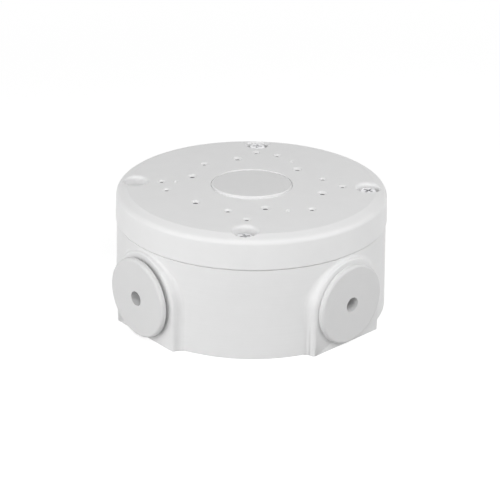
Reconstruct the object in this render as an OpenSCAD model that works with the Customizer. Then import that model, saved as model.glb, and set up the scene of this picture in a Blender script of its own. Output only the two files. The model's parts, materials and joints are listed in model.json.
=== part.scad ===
// Round die-cast junction box for a ceiling or wall camera.
// The wall face is z = 0, the cover's flat top faces +Z, the four cable ports face +X, +Y, -X and -Y.

/* [Drum] */
// Height from the wall face to the cover's flat top
total_h = 56.5; // [52:0.5:64]
// Height of the parting line between base and cover
parting_z = 42; // [41.5:0.5:44]
// Gap that shows at the parting line
parting_gap = 0.3; // [0.2:0.05:0.5]
// Outer radius of the base at the parting line
base_top_r = 62; // [60.5:0.5:66]
// How much wider the base is at the wall face, on the radius
base_flare = 1.5; // [0:0.1:3]
// Wall thickness of the base at its rim
base_wall = 3.4; // [3.2:0.1:5]
// Thickness of the floor against the wall
floor_t = 3; // [2.5:0.1:4]

/* [Cover] */
// How far the cover's lower edge stands out past the base
cover_overhang = 0.5; // [0:0.1:1]
// Draft of the cover's skirt over its height, on the radius
cover_draft = 0.7; // [0:0.1:1.5]
// Radius of the cover's flat top
flat_r = 56.8; // [56:0.1:58]
// Slope of the bevel round the flat top, in degrees
bevel_angle = 17; // [10:1:25]
// Rounding between the bevel and the skirt
edge_round = 2.8; // [2:0.1:3.5]
// Thickness of the cover's plate
plate_t = 4; // [3.5:0.1:5]
// Wall thickness of the cover's skirt at its lower edge
skirt_wall = 4.3; // [4.1:0.1:5]

/* [Ports] */
// Height of the port axes above the wall face
port_z = 19.8; // [19.5:0.1:20.5]
// Half width of a port pad, also the radius of its arch
pad_half_w = 20.5; // [19.5:0.1:21]
// How far the pads' flat faces stand out past the widest part of the base
pad_proud = 0.2; // [0.1:0.1:2]
// Largest rounding of a pad's front edge
pad_edge_round = 1.8; // [0.8:0.1:2]
// Radius of a cable port's bore
port_r = 13.2; // [12:0.1:14]
// Distance of a port's inner face from the box's axis
port_inner = 56; // [54:0.5:57]

/* [Plugs] */
// Radius of a plug's flange
plug_flange_r = 18.3; // [17:0.1:18.6]
// Thickness of a plug's flange
plug_flange_t = 2.5; // [2:0.1:3.5]
// Rounding of a plug's front edge
plug_round = 1.3; // [0.5:0.1:1.6]
// Length of a plug's shank behind the flange
plug_shank = 9.6; // [8:0.1:11]
// Radius of the blind cable hole in a side plug
plug_hole_r = 3.4; // [2.5:0.1:4]
// Clearance between a plug's ribs and its bore, on the radius
plug_fit = 0.05; // [0.03:0.01:0.15]
// How far the front plug still stands off its pad
plug_proud = 1.6; // [0:0.1:2]
// Depth of the seat round the cable hole in the cover
centre_seat = 1.2; // [0.8:0.1:1.6]
// Gap round the centre plug's flange in that seat
centre_gap = 0.7; // [0.4:0.1:1]

/* [Cover screws] */
// Radius of the circle that the cover screws stand on
screw_circle = 53.4; // [52.8:0.1:53.8]
// Radius of a screw recess at its floor
recess_r = 5.2; // [5:0.1:5.5]
// Depth of a screw recess below the flat top
recess_depth = 8; // [7:0.1:8.5]
// Thread radius of a cover screw and of the earth screw
screw_r = 2; // [1.5:0.1:2.2]
// Head radius of the screws
head_r = 4; // [3.5:0.1:4.2]
// Head height of the screws
head_h = 2.4; // [2:0.1:3]
// Length of a cover screw below its head
screw_len = 16; // [13:0.5:20]
// Play of a thread in its hole, on the radius
thread_fit = 0.05; // [0.03:0.01:0.1]
// How far the screw at 315 degrees still stands off its washers
stand_front = 1.1; // [0:0.1:3]
// How far the screw at 45 degrees still stands off its washers
stand_right = 2.2; // [0:0.1:3]
// How far the screw at 135 degrees still stands off its washers
stand_back = 2.8; // [0:0.1:3]
// How far the screw at 225 degrees still stands off its washers
stand_left = 0; // [0:0.1:3]

/* [Camera holes] */
// Circle radius of the inner set of large holes
hole_a_circle = 29; // [28:0.5:30]
// Circle radius of the outer set of large holes
hole_b_circle = 33.5; // [33:0.5:36]
// Circle radius of the inner set of medium holes
hole_c_circle = 33.7; // [33:0.1:36]
// Circle radius of the small holes
hole_d_circle = 35; // [34:0.5:37]
// Circle radius of the outer set of medium holes
hole_e_circle = 39.5; // [38:0.5:41]
// Circle radius of the holes in line with the cover screws
hole_f_circle = 41.5; // [40:0.5:42]
// Radius of a large hole
large_hole_r = 2.1; // [1.5:0.1:2.3]
// Radius of a medium hole
medium_hole_r = 1.65; // [1.2:0.05:2]
// Radius of a small hole
small_hole_r = 1; // [0.7:0.1:1.2]
// Depth of the camera holes, all blind
hole_depth = 7; // [5:0.5:7.5]

/* [Wall fixing] */
// Circle radius of the four wall fixing holes
fixing_circle = 39; // [37:0.5:40]
// Radius of a wall fixing hole
fixing_hole_r = 2.6; // [2:0.1:3]
// Radius of the rear cable entry
rear_entry_r = 13; // [10:0.5:15]
// Mean radius of the wall gasket
wall_gasket_mid = 52; // [50:0.5:54]

/* [Hidden] */
$fn = 96;

cast_white = [0.88, 0.88, 0.88];
plug_grey = [0.80, 0.80, 0.80];
zinc = [0.62, 0.62, 0.64];
seal_black = [0.16, 0.16, 0.17];

// Reach of a cutter past the face that it cuts
cut = 1;
// Clearance of a gasket or washer in its seat
seal_fit = 0.1;
// Length of the parting edges' small chamfers
small_chamfer = 0.4;

port_angles = [0, 90, 180, 270];
screw_angles = [315, 45, 135, 225];
screw_stand = [stand_front, stand_right, stand_back, stand_left];

// Levels of the base's rim and inside
rim_z = parting_z - parting_gap;
base_in_top_r = base_top_r - base_wall;
base_in_draft = 0.4;
base_bottom_r = base_top_r + base_flare;
pad_plane = base_bottom_r + pad_proud;

// Levels of the cover
cover_low_r = base_top_r + cover_overhang;
cover_in_r = cover_low_r - skirt_wall;
plate_under_z = total_h - plate_t;

// Gasket groove in the cover and the tongue on the base's rim
groove_mid = (base_in_top_r + cover_low_r) / 2 - 0.25;
groove_w = 1.8;
groove_h = 2.2;
tongue_w = 1.4;
tongue_h = 1 + parting_gap;

// Screw seats
washer_t = 0.8;
washer_r = 4.5;
spring_t = 1;
spring_r = 3.5;
retainer_t = 1;
retainer_r = 3.6;
retainer_seat_h = 1.3;
recess_floor_z = total_h - recess_depth;
head_seat_z = recess_floor_z + washer_t + spring_t;
recess_top_r = recess_r + 0.7;
recess_lip = 0.8;
base_boss_r = 6.3;
cover_boss_r = recess_top_r + 1.3;
thread_hole_r = screw_r + thread_fit;
thread_hole_depth = screw_len - (head_seat_z - rim_z) + 4;

// Earth terminal on the floor
ground_angle = 22.5;
ground_circle = 45;
ground_boss_r = 4.6;
ground_boss_top = floor_t + 6;
ground_len = 6;

// Bosses under the camera holes and ribs under the plate
boss_wall = 1.9;
boss_end = 1.3;
rib_w = 2;
rib_h = 3.4;
rib_count = 8;
collar_wall = 3;
collar_h = 3;

// Foam ring and its groove in the wall face
wall_gasket_w = 4;
wall_gasket_t = 1.5;

function arc(cx, cy, r, from, to, n) =
    [for (i = [0:n]) let (a = from + (to - from) * i / n) [cx + r * cos(a), cy + r * sin(a)]];

// Outer radius of the base at a height
function base_r(z) = base_bottom_r - base_flare * z / rim_z;

module ring(inner, outer, h) {
    difference() {
        cylinder(r = outer, h = h);
        translate([0, 0, -cut]) cylinder(r = inner, h = h + 2 * cut);
    }
}

module at_polar(angle, radius, z) {
    rotate([0, 0, angle]) translate([radius, 0, z]) children();
}

// Turns a shape that points up so that it points out of the port at an angle
module at_port(angle, distance) {
    rotate([0, 0, angle]) translate([distance, 0, port_z]) rotate([0, 90, 0]) children();
}

// Port pads
// A pad is lofted along its arch. Each station has the same run of points: front edge rounding,
// side, hollow fillet down to the drum, and a hidden flange that ends inside the wall.
// Where the drum bulges towards the pad's face, rounding and fillet shrink with the height that is left.
arch_steps = 20;
round_steps = 3;
fillet_steps = 4;
pad_root = port_inner - 2;
blend_lift = 0.08;
pad_stations = concat([[0, 0]], [for (i = [0:arch_steps]) [port_z, 180 * i / arch_steps]], [[0, 180]]);

function drum_y(z, x) = sqrt(pow(base_r(z), 2) - x * x);
function pad_point(s, d, y) = [y, d * cos(s[1]), s[0] + d * sin(s[1])];
function pad_drum(s, d) = drum_y(s[0] + d * sin(s[1]), d * cos(s[1]));
function pad_stand(s) = pad_plane - pad_drum(s, pad_half_w);
function pad_round(s) = min(pad_edge_round, 0.4 * pad_stand(s));
function pad_fillet(s) = (pad_stand(s) - pad_round(s)) * (0.95 + 0.3 * pow(cos(s[1]), 2));
function drum_slope(s, d) = atan(pow(cos(s[1]), 2) * d / pad_drum(s, d));

function pad_profile(s) =
    let (er = pad_round(s),
         f = pad_fillet(s),
         slope = drum_slope(s, pad_half_w + f * 0.6),
         foot_d = pad_half_w + f * (1 - sin(slope)),
         foot_y = pad_drum(s, foot_d) + blend_lift,
         centre_y = foot_y + f * cos(slope))
    concat(arc(pad_half_w - er, pad_plane - er, er, 90, 0, round_steps),
           arc(pad_half_w + f, centre_y, f, 180, 270 - slope, fillet_steps),
           [[foot_d, pad_root]]);

module port_pad() {
    rows = [for (s = pad_stations) [for (p = pad_profile(s)) pad_point(s, p[0], p[1])]];
    m = len(rows[0]);
    n = len(rows);
    points = [for (row = rows) for (p = row) p];
    sides = [for (i = [0:n - 2]) for (j = [0:m - 2]) each [
        [i * m + j, (i + 1) * m + j + 1, i * m + j + 1],
        [i * m + j, (i + 1) * m + j, (i + 1) * m + j + 1]]];
    front = [for (i = [n - 1:-1:0]) i * m];
    root = [for (i = [0:n - 1]) i * m + m - 1];
    bottom = concat([for (j = [0:m - 1]) j], [for (j = [m - 1:-1:0]) (n - 1) * m + j]);
    polyhedron(points = points, faces = concat(sides, [front, root, bottom]), convexity = 6);
}

module base_outside() {
    rotate_extrude($fn = 180) polygon([
        [0, 0],
        [base_bottom_r - small_chamfer, 0],
        [base_r(small_chamfer), small_chamfer],
        [base_r(rim_z - small_chamfer), rim_z - small_chamfer],
        [base_top_r - small_chamfer / 2, rim_z],
        [0, rim_z]]);
    for (a = port_angles) rotate([0, 0, a]) port_pad();
}

module base_cavity() {
    corner = 2.5;
    low_r = base_in_top_r - base_in_draft;
    rotate_extrude($fn = 180) polygon(concat(
        [[0, floor_t]],
        arc(low_r - corner, floor_t + corner, corner, 270, 360, 6),
        [[base_in_top_r, rim_z + cut], [0, rim_z + cut]]));
}

module base_bosses() {
    for (a = port_angles) at_port(a, port_inner) cylinder(r = port_r + 3.8, h = pad_plane - port_inner - 3);
    for (a = screw_angles) at_polar(a, screw_circle, floor_t - cut) {
        cylinder(r = base_boss_r, h = rim_z - floor_t + 2 * cut);
        cylinder(r1 = base_boss_r + 1.6, r2 = base_boss_r, h = 6);
        boss_web();
    }
    for (a = screw_angles) at_polar(a, fixing_circle, floor_t - cut)
        cylinder(r = fixing_hole_r + 2.6, h = cut + 1.5);
    at_polar(ground_angle, ground_circle, floor_t - cut) {
        cylinder(r1 = ground_boss_r + 1, r2 = ground_boss_r, h = ground_boss_top - floor_t + cut);
    }
    translate([0, 0, floor_t - cut]) cylinder(r = rear_entry_r + 2.5, h = cut + 2.5);
}

// Web that ties a screw boss to the drum's wall
module boss_web() {
    web_w = 5;
    translate([0, -web_w / 2, 0])
        cube([base_in_top_r - screw_circle + 1.5, web_w, rim_z - floor_t + 2 * cut]);
}

module base_holes() {
    for (a = port_angles) at_port(a, port_inner - cut) cylinder(r = port_r, h = pad_plane - port_inner + 2 * cut);
    for (a = screw_angles) {
        at_polar(a, screw_circle, rim_z - thread_hole_depth) cylinder(r = thread_hole_r, h = thread_hole_depth + cut);
        at_polar(a, fixing_circle, -cut) cylinder(r = fixing_hole_r, h = floor_t + 1.5 + 2 * cut);
    }
    at_polar(ground_angle, ground_circle, floor_t) cylinder(r = thread_hole_r, h = ground_boss_top);
    translate([0, 0, -cut]) cylinder(r = rear_entry_r, h = floor_t + 2.5 + 2 * cut);
    translate([0, 0, -cut])
        ring(wall_gasket_mid - wall_gasket_w / 2, wall_gasket_mid + wall_gasket_w / 2, wall_gasket_t + cut);
}

module base_tongue() {
    translate([0, 0, rim_z - 0.5])
        ring(groove_mid - tongue_w / 2, groove_mid + tongue_w / 2, tongue_h + 0.5, $fn = 180);
}

module base_box() {
    color(cast_white) difference() {
        union() {
            difference() {
                union() {
                    difference() {
                        base_outside();
                        base_cavity();
                    }
                    base_bosses();
                }
                translate([0, 0, rim_z]) cylinder(r = base_bottom_r, h = 2 * cut);
            }
            base_tongue();
        }
        base_holes();
    }
}

// Cover
// The bevel starts at the flat top's edge, and an arc that touches bevel and skirt follows it.
skirt_slope = atan(cover_draft / (total_h - parting_z));
edge_cx = cover_low_r - cover_draft * (total_h - 4 - parting_z) / (total_h - parting_z) - edge_round;
edge_cz = total_h - (edge_round + sin(bevel_angle) * (edge_cx - flat_r)) / cos(bevel_angle);

module cover_outside() {
    rotate_extrude($fn = 180) polygon(concat(
        [[0, parting_z],
         [cover_low_r - small_chamfer, parting_z],
         [cover_low_r, parting_z + small_chamfer]],
        arc(edge_cx, edge_cz, edge_round, skirt_slope, 90 - bevel_angle, 9),
        [[flat_r, total_h], [0, total_h]]));
}

module cover_hollow() {
    corner = 2;
    top_r = cover_in_r - 0.5;
    rotate_extrude($fn = 180) polygon(concat(
        [[0, parting_z - cut],
         [cover_in_r, parting_z - cut],
         [cover_in_r, parting_z]],
        arc(top_r - corner, plate_under_z - corner, corner, 0, 90, 6),
        [[0, plate_under_z]]));
}

// Each set: circle radius, first angle, number of holes, hole radius
hole_sets = [
    [hole_a_circle, 90, 3, large_hole_r],
    [hole_b_circle, 30, 3, large_hole_r],
    [hole_c_circle, 60, 3, medium_hole_r],
    [hole_d_circle, 105, 3, small_hole_r],
    [hole_e_circle, 0, 3, medium_hole_r],
    [hole_f_circle, 45, 4, medium_hole_r]];

module each_camera_hole() {
    for (set = hole_sets) for (i = [0:set[2] - 1]) {
        $hole_r = set[3];
        at_polar(set[1] + 360 * i / set[2], set[0], 0) children();
    }
}

module cover_underside() {
    boss_z = total_h - hole_depth - boss_end;
    each_camera_hole() translate([0, 0, boss_z])
        cylinder(r = $hole_r + boss_wall, h = plate_under_z - boss_z + cut);
    for (a = screw_angles) at_polar(a, screw_circle, parting_z)
        cylinder(r = cover_boss_r, h = plate_under_z - parting_z + cut);
    translate([0, 0, plate_under_z - collar_h]) cylinder(r = port_r + collar_wall, h = collar_h + cut);
    for (i = [0:rib_count - 1])
        rotate([0, 0, 360 * (i + 0.5) / rib_count])
            translate([port_r, -rib_w / 2, plate_under_z - rib_h]) cube([cover_in_r - port_r, rib_w, rib_h + cut]);
}

// Cutter for a screw recess: tapered, with a rounded lip at the flat top
module screw_recess() {
    rotate_extrude() polygon(concat(
        [[0, recess_floor_z], [recess_r, recess_floor_z]],
        arc(recess_top_r + recess_lip, total_h - recess_lip, recess_lip, 180, 90, 5),
        [[recess_top_r + recess_lip, total_h + cut], [0, total_h + cut]]));
}

module camera_hole() {
    mouth = 0.3;
    translate([0, 0, total_h - hole_depth]) cylinder(r = $hole_r, h = hole_depth + cut, $fn = 48);
    translate([0, 0, total_h - mouth])
        cylinder(r1 = $hole_r, r2 = $hole_r + mouth + cut, h = mouth + cut, $fn = 48);
}

module cover_holes() {
    each_camera_hole() camera_hole();
    for (a = screw_angles) at_polar(a, screw_circle, 0) {
        screw_recess();
        translate([0, 0, parting_z - cut]) cylinder(r = screw_r + 0.3, h = recess_depth + 2 * cut + 10);
        translate([0, 0, parting_z - cut]) cylinder(r = retainer_r + 0.2, h = retainer_seat_h + cut);
    }
    translate([0, 0, parting_z - cut])
        ring(groove_mid - groove_w / 2, groove_mid + groove_w / 2, groove_h + cut, $fn = 180);
    translate([0, 0, parting_z]) cylinder(r = port_r, h = total_h);
    translate([0, 0, total_h - centre_seat]) cylinder(r = plug_flange_r + centre_gap, h = centre_seat + cut);
}

module cover() {
    color(cast_white) difference() {
        union() {
            difference() {
                cover_outside();
                cover_hollow();
            }
            cover_underside();
        }
        cover_holes();
    }
}

// Seals
module cover_gasket() {
    low = rim_z + tongue_h + seal_fit / 2;
    high = parting_z + groove_h - seal_fit / 2;
    color(seal_black) translate([0, 0, low])
        ring(groove_mid - groove_w / 2 + seal_fit, groove_mid + groove_w / 2 - seal_fit, high - low, $fn = 180);
}

module wall_gasket() {
    color(seal_black) ring(wall_gasket_mid - wall_gasket_w / 2 + seal_fit,
                           wall_gasket_mid + wall_gasket_w / 2 - seal_fit,
                           wall_gasket_t - seal_fit / 2);
}

// Plugs
// Flange, ribbed shank, hollow back and a sleeve that a side plug's blind cable hole runs into.
plug_web = 0.6;
plug_skin = 1;
sleeve_wall = 2;
shank_wall = 2.6;
rib_pitch = 2.1;
rib_rise = 0.5;

module plug(pierced) {
    shank_r = port_r - plug_fit;
    core_r = shank_r - rib_rise;
    hole_end = -plug_shank + plug_skin;
    ribs = [for (i = [0:2]) let (z = -1.4 - i * rib_pitch)
        each [[core_r, z], [shank_r, z - 0.2], [shank_r, z - 0.6], [core_r, z - 1.4]]];
    outline = concat(
        [[0, plug_flange_t]],
        arc(plug_flange_r - plug_round, plug_flange_t - plug_round, plug_round, 90, 0, 6),
        [[plug_flange_r, 0.3], [plug_flange_r - 0.3, 0], [core_r, 0]],
        ribs,
        [[core_r, -plug_shank + 1], [core_r - 0.8, -plug_shank], [0, -plug_shank]]);
    difference() {
        rotate_extrude() polygon(outline);
        translate([0, 0, -plug_shank - cut])
            ring(plug_hole_r + sleeve_wall, core_r - shank_wall, plug_shank + cut - plug_web);
        if (pierced) {
            translate([0, 0, hole_end]) cylinder(r = plug_hole_r, h = plug_shank + plug_flange_t + cut, $fn = 64);
        } else {
            translate([0, 0, -plug_shank - cut])
                cylinder(r = plug_hole_r, h = plug_shank + cut - plug_web, $fn = 64);
        }
    }
}

module side_plug(angle, proud) {
    color(plug_grey) at_port(angle, pad_plane + proud) plug(true);
}

module side_plug_front() { side_plug(270, plug_proud); }
module side_plug_right() { side_plug(0, 0); }
module side_plug_back() { side_plug(90, 0); }
module side_plug_left() { side_plug(180, 0); }

module centre_plug() {
    color(plug_grey) translate([0, 0, total_h - centre_seat]) plug(false);
}

// Fasteners
// Pan head screw with a cross recess. The head's underside is z = 0.
module pan_screw(length) {
    edge = 1.2;
    cross_l = 4.6;
    cross_w = 1.1;
    cross_d = 1.5;
    difference() {
        rotate_extrude($fn = 64) polygon(concat(
            [[0, -length], [screw_r - 0.5, -length], [screw_r, 0.5 - length], [screw_r, 0], [head_r, 0]],
            arc(head_r - edge, head_h - edge, edge, 0, 75, 5),
            [[0, head_h]]));
        for (a = [0, 90]) rotate([0, 0, a]) translate([-cross_l / 2, -cross_w / 2, head_h - cross_d])
            cube([cross_l, cross_w, cross_d + cut]);
    }
}

module flat_washer(outer, t) {
    ring(screw_r + 0.1, outer, t, $fn = 64);
}

// Split ring: the slot runs at a slant as it is cut from a coil
module split_washer() {
    slot_w = 0.6;
    difference() {
        flat_washer(spring_r, spring_t);
        translate([0, 0, spring_t / 2]) rotate([35, 0, 0])
            translate([0, -slot_w / 2, -3 * spring_t]) cube([spring_r + cut, slot_w, 6 * spring_t]);
    }
}

module cover_screws() {
    color(zinc) for (i = [0:3])
        at_polar(screw_angles[i], screw_circle, head_seat_z + screw_stand[i]) rotate([0, 0, 20 + 35 * i])
            pan_screw(screw_len);
}

module screw_spring_washers() {
    color(zinc) for (a = screw_angles) at_polar(a, screw_circle, recess_floor_z + washer_t) split_washer();
}

module screw_sealing_washers() {
    color(seal_black) for (a = screw_angles)
        at_polar(a, screw_circle, recess_floor_z) flat_washer(washer_r, washer_t);
}

module screw_retainers() {
    color(seal_black) for (a = screw_angles)
        at_polar(a, screw_circle, parting_z + retainer_seat_h - retainer_t) flat_washer(retainer_r, retainer_t);
}

// Earth terminal: cup washer, split washer and screw stacked on the boss
cup_lip = 0.7;

module ground_cup_washer() {
    color("gold") at_polar(ground_angle, ground_circle, ground_boss_top) {
        flat_washer(washer_r, washer_t);
        ring(washer_r - cup_lip, washer_r, washer_t + cup_lip, $fn = 64);
    }
}

module ground_spring_washer() {
    color(zinc) at_polar(ground_angle, ground_circle, ground_boss_top + washer_t) split_washer();
}

module ground_screw() {
    color(zinc) at_polar(ground_angle, ground_circle, ground_boss_top + washer_t + spring_t) pan_screw(ground_len);
}

base_box();
cover();
cover_gasket();
wall_gasket();
centre_plug();
side_plug_front();
side_plug_right();
side_plug_back();
side_plug_left();
cover_screws();
screw_spring_washers();
screw_sealing_washers();
screw_retainers();
ground_screw();
ground_spring_washer();
ground_cup_washer();
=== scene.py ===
# %% [markdown]
# A round die-cast junction box for a wall or ceiling camera, dressed for a studio picture.
# The solids come packed as a fixed frame, in metres, with the wall face at z = 0 and the flat seat upwards.
# This script never moves them. It gives every surface a finish, and where a solid is plainer than the
# real piece it puts a finer mesh in the same place.

import json
import math

import bmesh
import bpy
from mathutils import Matrix, Vector


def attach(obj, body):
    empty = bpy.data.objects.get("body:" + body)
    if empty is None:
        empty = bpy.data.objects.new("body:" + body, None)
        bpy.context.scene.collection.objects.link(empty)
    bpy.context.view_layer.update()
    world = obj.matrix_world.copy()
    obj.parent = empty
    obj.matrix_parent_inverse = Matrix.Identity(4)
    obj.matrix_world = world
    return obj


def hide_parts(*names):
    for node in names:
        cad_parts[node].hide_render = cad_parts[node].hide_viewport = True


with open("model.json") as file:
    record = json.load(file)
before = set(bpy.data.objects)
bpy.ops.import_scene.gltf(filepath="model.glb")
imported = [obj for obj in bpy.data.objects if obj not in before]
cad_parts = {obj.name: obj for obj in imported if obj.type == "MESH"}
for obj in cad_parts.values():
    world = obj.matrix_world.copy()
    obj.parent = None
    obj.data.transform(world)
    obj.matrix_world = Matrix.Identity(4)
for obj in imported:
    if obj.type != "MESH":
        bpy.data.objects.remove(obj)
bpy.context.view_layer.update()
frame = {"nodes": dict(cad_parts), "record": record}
MM = 0.001
print("solids in the frame:", sorted(frame["nodes"]))

# %% [markdown]
# The camera stands where the photographer's did. Distance, height and lens were found by fitting the
# round outline, the parting line and the port pads, so the ellipses come out with the right flatness.
# The view is turned a little past the diagonal, which is why one port shows more of its side.

# %% Camera
CAMERA_AZIMUTH = 47.73
CAMERA_DISTANCE = 563.96 * MM
CAMERA_HEIGHT = 279.91 * MM
CAMERA_PITCH = 24.481
CAMERA_ROLL = 0.669
CAMERA_YAW = 0.043
LENS_MM = 95.17


def make_camera():
    azimuth, pitch, roll = map(math.radians, (CAMERA_AZIMUTH, CAMERA_PITCH, CAMERA_ROLL))
    yaw = azimuth + math.radians(CAMERA_YAW)
    ahead = Vector((-math.sin(yaw), math.cos(yaw), 0))
    look = ahead * math.cos(pitch) - Vector((0, 0, math.sin(pitch)))
    right = look.cross(Vector((0, 0, 1))).normalized()
    up = right.cross(look)
    side = right * math.cos(roll) + up * math.sin(roll)
    top = up * math.cos(roll) - right * math.sin(roll)
    data = bpy.data.cameras.new("studio_camera")
    data.lens = LENS_MM
    data.sensor_width = 36
    data.clip_start = 0.01
    camera = bpy.data.objects.new("studio_camera", data)
    turn = Matrix((side, top, -look)).transposed().to_4x4()
    away = Vector((math.sin(azimuth), -math.cos(azimuth), 0))
    place = away * CAMERA_DISTANCE + Vector((0, 0, CAMERA_HEIGHT))
    camera.matrix_world = Matrix.Translation(place) @ turn
    bpy.context.scene.collection.objects.link(camera)
    bpy.context.scene.camera = camera
    return camera


camera = make_camera()
print("camera stands at", [round(v, 3) for v in camera.location])

# %% [markdown]
# Materials are node trees. These two helpers keep the cells short: one starts a material with its
# shader, one adds a node and sets its sockets by name.


# %% Helpers for node trees
def add_node(tree, kind, **sockets):
    node = tree.nodes.new(kind)
    for name, value in sockets.items():
        node.inputs[name.replace("_", " ")].default_value = value
    return node


def new_material(name, **shader_sockets):
    material = bpy.data.materials.new(name)
    material.use_nodes = True
    tree = material.node_tree
    shader = tree.nodes["Principled BSDF"]
    for socket, value in shader_sockets.items():
        shader.inputs[socket.replace("_", " ")].default_value = value
    return material, tree, shader


def group_with(name, inputs, outputs):
    group = bpy.data.node_groups.new(name, "ShaderNodeTree")
    for label, kind, value in inputs:
        socket = group.interface.new_socket(label, in_out="INPUT", socket_type=kind)
        if value is not None:
            socket.default_value = value
    for label, kind in outputs:
        group.interface.new_socket(label, in_out="OUTPUT", socket_type=kind)
    return group, group.nodes.new("NodeGroupInput"), group.nodes.new("NodeGroupOutput")


def place_group(tree, group, **values):
    node = tree.nodes.new("ShaderNodeGroup")
    node.node_tree = group
    for name, value in values.items():
        node.inputs[name.replace("_", " ")].default_value = value
    return node


# %% [markdown]
# The floor is a pale sheet of card. To light the box it acts as plain white card. To the camera it is
# lifted to white by its own glow, and a weak matt part keeps the soft shadow under the box.

# %% Floor and surroundings
FLOOR_SIZE = 6.0
CARD_BOUNCE = 0.55
CARD_SEEN = 0.32
CARD_GLOW = 0.83
NEAR_CARD = 0.2
FAR_CARD = 0.6
SKY_LEVEL = 0.12


def seen_ray(tree):
    path = tree.nodes.new("ShaderNodeLightPath")
    seen = path.outputs["Is Camera Ray"]
    for kind in ("Is Glossy Ray", "Is Transmission Ray"):
        either = add_node(tree, "ShaderNodeMath")
        either.operation = "MAXIMUM"
        tree.links.new(seen, either.inputs[0])
        tree.links.new(path.outputs[kind], either.inputs[1])
        seen = either.outputs[0]
    return seen


def far_mask(tree):
    place = tree.nodes.new("ShaderNodeTexCoord")
    reach = tree.nodes.new("ShaderNodeVectorMath")
    reach.operation = "LENGTH"
    ramp = add_node(tree, "ShaderNodeMapRange", From_Min=NEAR_CARD, From_Max=FAR_CARD)
    ramp.interpolation_type = "SMOOTHSTEP"
    tree.links.new(place.outputs["Object"], reach.inputs[0])
    tree.links.new(reach.outputs["Value"], ramp.inputs["Value"])
    return ramp.outputs["Result"]


def make_floor():
    half = FLOOR_SIZE / 2
    mesh = bpy.data.meshes.new("floor_card")
    corners = [(-half, -half, 0), (half, -half, 0), (half, half, 0), (-half, half, 0)]
    mesh.from_pydata(corners, [], [(0, 1, 2, 3)])
    floor = bpy.data.objects.new("floor_card", mesh)
    bpy.context.scene.collection.objects.link(floor)
    material = bpy.data.materials.new("white_card")
    material.use_nodes = True
    tree = material.node_tree
    tree.nodes.clear()
    bounce = add_node(tree, "ShaderNodeBsdfDiffuse", Color=(CARD_BOUNCE,) * 3 + (1,))
    shown = add_node(tree, "ShaderNodeBsdfDiffuse", Color=(CARD_SEEN,) * 3 + (1,))
    glow = add_node(tree, "ShaderNodeEmission", Strength=CARD_GLOW)
    both = tree.nodes.new("ShaderNodeAddShader")
    pick = tree.nodes.new("ShaderNodeMixShader")
    out = tree.nodes.new("ShaderNodeOutputMaterial")
    tree.links.new(shown.outputs[0], both.inputs[0])
    tree.links.new(glow.outputs[0], both.inputs[1])
    far = add_node(tree, "ShaderNodeEmission", Strength=1.0)
    fade = tree.nodes.new("ShaderNodeMixShader")
    tree.links.new(far_mask(tree), fade.inputs[0])
    tree.links.new(both.outputs[0], fade.inputs[1])
    tree.links.new(far.outputs[0], fade.inputs[2])
    tree.links.new(seen_ray(tree), pick.inputs[0])
    tree.links.new(bounce.outputs[0], pick.inputs[1])
    tree.links.new(fade.outputs[0], pick.inputs[2])
    tree.links.new(pick.outputs[0], out.inputs["Surface"])
    mesh.materials.append(material)
    return floor


def make_sky():
    world = bpy.data.worlds.new("studio")
    bpy.context.scene.world = world
    world.use_nodes = True
    tree = world.node_tree
    tree.nodes.clear()
    ambient = add_node(tree, "ShaderNodeBackground", Color=(1, 1, 1, 1), Strength=SKY_LEVEL)
    white = add_node(tree, "ShaderNodeBackground", Color=(1, 1, 1, 1), Strength=1.0)
    pick = tree.nodes.new("ShaderNodeMixShader")
    out = tree.nodes.new("ShaderNodeOutputWorld")
    tree.links.new(seen_ray(tree), pick.inputs[0])
    tree.links.new(ambient.outputs[0], pick.inputs[1])
    tree.links.new(white.outputs[0], pick.inputs[2])
    tree.links.new(pick.outputs[0], out.inputs["Surface"])


make_floor()
make_sky()

# %% [markdown]
# Three large soft lamps stand round the box: one each side of the camera and low, which makes the
# upright walls brighter than the flat top, and one overhead that draws the bright line on the rim.

# %% Lamps
LAMP_DISTANCE = 0.9


def soft_lamp(name, azimuth, elevation, width, height, watts):
    a, e = math.radians(azimuth), math.radians(elevation)
    away = Vector((math.sin(a) * math.cos(e), -math.cos(a) * math.cos(e), math.sin(e)))
    data = bpy.data.lights.new(name, "AREA")
    data.shape = "RECTANGLE"
    data.size = width
    data.size_y = height
    data.energy = watts
    lamp = bpy.data.objects.new(name, data)
    lamp.location = away * LAMP_DISTANCE + Vector((0, 0, 0.03))
    lamp.rotation_mode = "QUATERNION"
    lamp.rotation_quaternion = (-away).to_track_quat("-Z", "Y")
    bpy.context.scene.collection.objects.link(lamp)
    return lamp


LAMPS = [
    ("left_softbox", -75, 10, 0.8, 0.6, 1.1),
    ("low_left_softbox", -45, 15, 0.8, 0.6, 3.4),
    ("upper_left_softbox", -60, 35, 0.6, 0.5, 0.65),
    ("front_softbox", 0, 50, 0.8, 0.5, 2.75),
    ("upper_right_softbox", 60, 35, 0.6, 0.5, 2.2),
    ("side_right_softbox", 90, 35, 0.6, 0.5, 0.9),
    ("low_right_softbox", 75, 10, 0.8, 0.6, 1.1),
    ("back_softbox", 180, 50, 0.8, 0.6, 0.5),
]
for name, turn, elevation, width, height, watts in LAMPS:
    soft_lamp(name, CAMERA_AZIMUTH + turn, elevation, width, height, watts)

bpy.context.scene.view_settings.view_transform = "Standard"

# %% [markdown]
# Powder coat is melted paint, so it is never quite flat: fine droplets flow into a skin like orange
# peel. A shared group makes that skin from two sizes of noise, for every coated or moulded piece.


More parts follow.
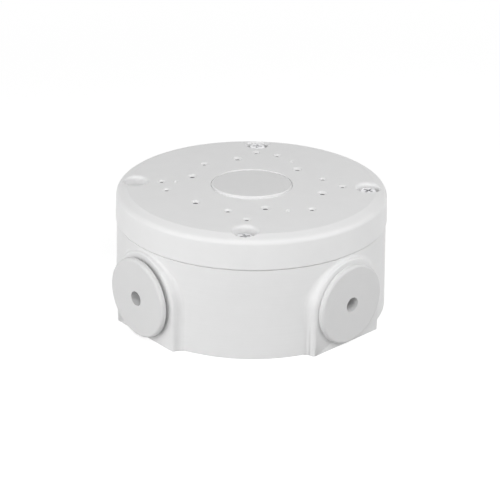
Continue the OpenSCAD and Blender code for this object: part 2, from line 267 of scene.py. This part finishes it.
# %% Skin group
def make_skin_group():
    group, start, end = group_with(
        "moulded_skin",
        [("Grain Size", "NodeSocketFloat", 900.0), ("Wave Size", "NodeSocketFloat", 120.0),
         ("Wave Share", "NodeSocketFloat", 0.5)],
        [("Height", "NodeSocketFloat"), ("Mottle", "NodeSocketFloat")])
    place = group.nodes.new("ShaderNodeTexCoord")
    fine = add_node(group, "ShaderNodeTexNoise", Detail=3.0, Roughness=0.55)
    wave = add_node(group, "ShaderNodeTexNoise", Detail=2.0, Roughness=0.5)
    mix = group.nodes.new("ShaderNodeMix")
    for noise, size in ((fine, "Grain Size"), (wave, "Wave Size")):
        group.links.new(place.outputs["Object"], noise.inputs["Vector"])
        group.links.new(start.outputs[size], noise.inputs["Scale"])
    group.links.new(start.outputs["Wave Share"], mix.inputs["Factor"])
    group.links.new(fine.outputs["Fac"], mix.inputs["A"])
    group.links.new(wave.outputs["Fac"], mix.inputs["B"])
    group.links.new(mix.outputs["Result"], end.inputs["Height"])
    group.links.new(wave.outputs["Fac"], end.inputs["Mottle"])
    return group


skin_group = make_skin_group()


# %% Coated and moulded materials
def skin_material(name, colour, roughness, bump, grain=900.0, wave=120.0, share=0.5, spread=0.02, **extra):
    material, tree, shader = new_material(name, Roughness=roughness, **extra)
    skin = place_group(tree, skin_group, Grain_Size=grain, Wave_Size=wave, Wave_Share=share)
    ramp = tree.nodes.new("ShaderNodeMix")
    ramp.data_type = "RGBA"
    ramp.inputs[6].default_value = tuple(c * (1 - spread) for c in colour) + (1,)
    ramp.inputs[7].default_value = tuple(min(1, c * (1 + spread)) for c in colour) + (1,)
    tree.links.new(skin.outputs["Mottle"], ramp.inputs[0])
    tree.links.new(ramp.outputs[2], shader.inputs["Base Color"])
    lift = add_node(tree, "ShaderNodeBump", Strength=1.0, Distance=bump)
    tree.links.new(skin.outputs["Height"], lift.inputs["Height"])
    tree.links.new(lift.outputs["Normal"], shader.inputs["Normal"])
    return material, tree, shader, lift


# %% Level lines of the base
def add_level_lines(tree, shader, lift, share):
    place = tree.nodes.new("ShaderNodeTexCoord")
    squeeze = add_node(tree, "ShaderNodeMapping", Scale=(25, 25, 2300))
    lines = add_node(tree, "ShaderNodeTexNoise", Scale=1.0, Detail=2.0, Roughness=0.6)
    tree.links.new(place.outputs["Object"], squeeze.inputs["Vector"])
    tree.links.new(squeeze.outputs[0], lines.inputs["Vector"])
    tint = tree.nodes.new("ShaderNodeMix")
    tint.data_type = "RGBA"
    tint.blend_type = "MULTIPLY"
    tint.inputs[0].default_value = share
    old = shader.inputs["Base Color"].links[0].from_socket
    tree.links.new(old, tint.inputs[6])
    tree.links.new(lines.outputs["Fac"], tint.inputs[7])
    tree.links.new(tint.outputs[2], shader.inputs["Base Color"])


WHITE = (0.82, 0.82, 0.82)
PLUG_GREY = (0.725, 0.725, 0.725)
# Lighter than PLUG_GREY: painted light on the centre plug's flat top, which is the same rubber as the side plugs
CENTRE_GREY_LIT = (0.79, 0.79, 0.79)
coat, coat_tree, coat_shader, coat_lift = skin_material(
    "white_powder_coat", WHITE, 0.34, 0.00003, Specular_IOR_Level=0.32)
# The base gets a copy of the white coat made 1.5 % darker, painted shade for its walls, and the real level lines
# of the casting
base_coat_shade_and_lines, base_shade_tree, base_shade_shader, base_shade_lift = skin_material(
    "white_powder_coat_base_shade_lines", tuple(c * 0.985 for c in WHITE), 0.36, 0.00003, Specular_IOR_Level=0.32)
add_level_lines(base_shade_tree, base_shade_shader, base_shade_lift, 0.04)
rubber, rubber_tree, rubber_shader, rubber_lift = skin_material(
    "pale_grey_rubber", PLUG_GREY, 0.62, 0.00002, grain=1600.0, spread=0.015, Specular_IOR_Level=0.35)
# A lighter copy of the pale grey rubber for the centre plug, painted light on its flat top
centre_rubber_lit, centre_tree, centre_shader, centre_lift = skin_material(
    "centre_plug_rubber_painted_light", CENTRE_GREY_LIT, 0.55, 0.00002, grain=1600.0, spread=0.015, Specular_IOR_Level=0.35)
seal, seal_tree, seal_shader, seal_lift = skin_material(
    "black_seal_rubber", (0.035, 0.035, 0.038), 0.7, 0.00003, spread=0.2)

# %% Metal materials, and the painted shade for the hole bores
steel, steel_tree, steel_shader = new_material(
    "zinc_plated_steel", Metallic=0.9, Roughness=0.38, Base_Color=(0.74, 0.74, 0.75, 1))
# The dark bore colour is painted shade: it stands for the shade deep inside each camera hole
bore_shade, bore_tree, bore_shader, bore_lift = skin_material(
    "painted_shade_bore", (0.17, 0.17, 0.175), 0.6, 0.00002, spread=0.15)
brass, brass_tree, brass_shader = new_material(
    "satin_brass", Metallic=1.0, Roughness=0.35, Base_Color=(0.72, 0.52, 0.25, 1))

# %% [markdown]
# The base's port pads are lofted with flat facets. Moulded surfaces flow, so a copy of the base is
# welded into one skin and shaded smooth, with sharp edges kept where the real casting has them.

# %% Smooth copy of a solid
SHARP_ANGLE = math.radians(33)


def copy_points(name):
    source = frame["nodes"][name]
    box = source.matrix_world
    work = bmesh.new()
    work.from_mesh(source.data)
    bmesh.ops.transform(work, matrix=box, verts=work.verts)
    bmesh.ops.remove_doubles(work, verts=work.verts, dist=0.002 * MM)
    return work


def finish_skin(work, name, material, stands_for=None, sharp=SHARP_ANGLE):
    mesh = bpy.data.meshes.new(name)
    work.to_mesh(mesh)
    work.free()
    mesh.shade_smooth()
    mesh.set_sharp_from_angle(angle=sharp)
    mesh.materials.append(material)
    piece = bpy.data.objects.new(name, mesh)
    bpy.context.scene.collection.objects.link(piece)
    weigh = piece.modifiers.new("even_shading", "WEIGHTED_NORMAL")
    weigh.keep_sharp = True
    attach(piece, "root")
    if stands_for:
        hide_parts(stands_for)
    print(name, "has", len(mesh.polygons), "faces")
    return piece


# The base wears the darker copy of the coat: painted shade on its walls, with its real level lines
base_skin = finish_skin(copy_points("base_box"), "base_casting", base_coat_shade_and_lines, "base_box")

# %% [markdown]
# Powder coat draws back from sharp edges and builds up just beside them, so every hole and recess of a
# coated casting has a soft rolled lip and a slightly narrower throat. Each lip is turned as a short
# profile round its hole. Where a recess runs into the sloping band, its lip follows the slope.

# %% Sizes of the flat top, in millimetres
TOP_Z = 56.5
FLAT_R = 56.8
BEVEL = math.radians(17)
SEAT_R = 19.0
SEAT_DEPTH = 1.2
SCREW_CIRCLE = 53.4
SCREW_ANGLES = (45, 135, 225, 315)
RECESS_DEPTH = 8.0
MOUTH_CHAMFER = 0.3
HOLE_DEPTH = 7.0
COAT_REACH = 0.08
LIP_DROP = 0.72
LARGE_R, MEDIUM_R, SMALL_R = 2.1, 1.65, 1.0
HOLE_SETS = [
    (29.0, 90, 3, LARGE_R, 1.2),
    (33.5, 30, 3, LARGE_R, 1.2),
    (33.7, 60, 3, MEDIUM_R, 0.95),
    (35.0, 105, 3, SMALL_R, 0.5),
    (39.5, 0, 3, MEDIUM_R, 0.95),
    (41.5, 45, 4, MEDIUM_R, 0.95),
]


# %% Turned lips
def arc_points(centre_r, centre_z, radius, start, end, steps, drop=1.0):
    turns = [math.radians(start + (end - start) * i / steps) for i in range(steps + 1)]
    return [(centre_r + radius * math.cos(t), centre_z + drop * radius * math.sin(t)) for t in turns]


def surface_z(reach):
    return TOP_Z - max(0.0, reach - FLAT_R) * math.tan(BEVEL)


def soft_min(a, b, width):
    if width <= 0:
        return min(a, b)
    h = max(width - abs(a - b), 0.0) / width
    return min(a, b) - h * h * width / 4


def turn_lip(work, centre, profile, segments, follow=False, floor=False):
    cx, cy = centre
    rings = []
    for r, z in profile:
        ring = []
        for i in range(segments):
            t = 2 * math.pi * i / segments
            x, y = cx + r * math.cos(t), cy + r * math.sin(t)
            height = z
            if follow:
                reach = math.hypot(x, y)
                height = soft_min(z, surface_z(reach) - 0.01, min(0.6, max(0.0, reach - FLAT_R)))
            ring.append(work.verts.new((x * MM, y * MM, height * MM)))
        rings.append(ring)
    for outer, inner in zip(rings, rings[1:]):
        for i in range(segments):
            j = (i + 1) % segments
            work.faces.new((outer[i], outer[j], inner[j], inner[i]))
    if floor:
        work.faces.new(rings[-1])


def at_angle(radius, degrees):
    return radius * math.cos(math.radians(degrees)), radius * math.sin(math.radians(degrees))


# %% Lips of the camera holes, the screw recesses and the centre seat
def camera_hole_lips():
    work = bmesh.new()
    for circle, first, count, hole_r, throat_r in HOLE_SETS:
        mouth_r = hole_r + MOUTH_CHAMFER
        lip = mouth_r - throat_r
        shallow = hole_r == SMALL_R
        drop = LIP_DROP * lip
        profile = [(mouth_r, TOP_Z), (mouth_r - 0.1, TOP_Z - 0.03), (mouth_r - 0.2, TOP_Z - 0.1),
                   (throat_r + 0.06, TOP_Z - drop + 0.02), (throat_r, TOP_Z - drop - COAT_REACH)]
        for i in range(count):
            turn_lip(work, at_angle(circle, first + 360 * i / count), profile, 40, floor=shallow)
    return finish_skin(work, "camera_hole_lips", coat)


# Dark sleeves in the camera holes below the lips: painted shade for the depth of each hole
def camera_hole_shade_sleeves():
    work = bmesh.new()
    for circle, first, count, hole_r, throat_r in HOLE_SETS:
        if hole_r == SMALL_R:
            continue
        top = TOP_Z - LIP_DROP * (hole_r + MOUTH_CHAMFER - throat_r) - COAT_REACH
        profile = [(throat_r, top), (throat_r - 0.12, top - 0.1), (throat_r - 0.12, TOP_Z - HOLE_DEPTH + 0.02)]
        for i in range(count):
            turn_lip(work, at_angle(circle, first + 360 * i / count), profile, 40, floor=True)
    return finish_skin(work, "camera_hole_shade_sleeves", bore_shade)


def screw_recess_lips():
    work = bmesh.new()
    lip, throat_r, floor_r = 1.5, 5.2, 4.7
    mouth_r = throat_r + lip
    profile = arc_points(mouth_r, TOP_Z - lip, lip, 90, 180, 12) + [(floor_r, TOP_Z - RECESS_DEPTH + 0.02)]
    for angle in SCREW_ANGLES:
        turn_lip(work, at_angle(SCREW_CIRCLE, angle), profile, 96, follow=True)
    return finish_skin(work, "screw_recess_lips", coat)


def centre_seat_lip():
    work = bmesh.new()
    lip = 0.4
    profile = arc_points(SEAT_R, TOP_Z - lip, lip, 90, 180, 6) + [(SEAT_R - lip, TOP_Z - SEAT_DEPTH)]
    turn_lip(work, (0, 0), profile, 160)
    return finish_skin(work, "centre_seat_lip", coat)


camera_hole_lips()
camera_hole_shade_sleeves()
screw_recess_lips()
centre_seat_lip()

# %% [markdown]
# The centre plug is soft rubber pushed in by hand, and in the picture its flange isn't quite home: it
# stands higher on the side towards the camera. The flange of this copy is thinner and leans a little,
# while the ribbed shank stays straight in its hole.

# %% Leaning centre plug
PLUG_LEAN = 2.65
FLANGE_T = 0.75
FLANGE_R = 18.6
PLUG_SHIFT = 0.1
FLANGE_ROUND = 0.6
SHANK_R = 13.0


def leaning_plug():
    work = copy_points("centre_plug")
    seat_z = TOP_Z - SEAT_DEPTH
    outer = [v for v in work.verts
             if v.co.z > (seat_z - 0.05) * MM and math.hypot(v.co.x, v.co.y) > (SHANK_R + 0.3) * MM]
    bmesh.ops.delete(work, geom=outer, context="VERTS")
    kept = set(work.verts)
    side = arc_points(FLANGE_R - FLANGE_ROUND, FLANGE_T - FLANGE_ROUND, FLANGE_ROUND, 0, 90, 10)
    profile = [(SHANK_R, 0), (FLANGE_R - 0.2, 0), (FLANGE_R, 0.15)] + side + [(12.0, FLANGE_T), (0.01, FLANGE_T)]
    turn_lip(work, (0, 0), profile, 192)
    towards = math.radians(CAMERA_AZIMUTH - 90)
    lean = math.tan(math.radians(PLUG_LEAN))
    for v in work.verts:
        if v not in kept:
            along = v.co.x * math.cos(towards) + v.co.y * math.sin(towards) + FLANGE_R * MM
            share = min(1.0, v.co.z / (FLANGE_T * MM))
            v.co.z += seat_z * MM + along * lean * share
            v.co.x += PLUG_SHIFT * MM * math.cos(towards)
            v.co.y += PLUG_SHIFT * MM * math.sin(towards)
    bmesh.ops.recalc_face_normals(work, faces=work.faces)
    # Its rubber is the lighter copy: painted light on the flat top
    return finish_skin(work, "leaning_centre_plug", centre_rubber_lit, "centre_plug")


leaning_plug()

# %% Give every solid its finish
FINISH = {"cast_white": coat, "plug_rubber": rubber, "screw_steel": steel,
          "black_rubber": seal, "washer_brass": brass}
slot_of = {part["node"]: part["material_slot"] for part in frame["record"]["subparts"]}
for name, solid in frame["nodes"].items():
    solid.data.materials.clear()
    solid.data.materials.append(FINISH[slot_of[name]])
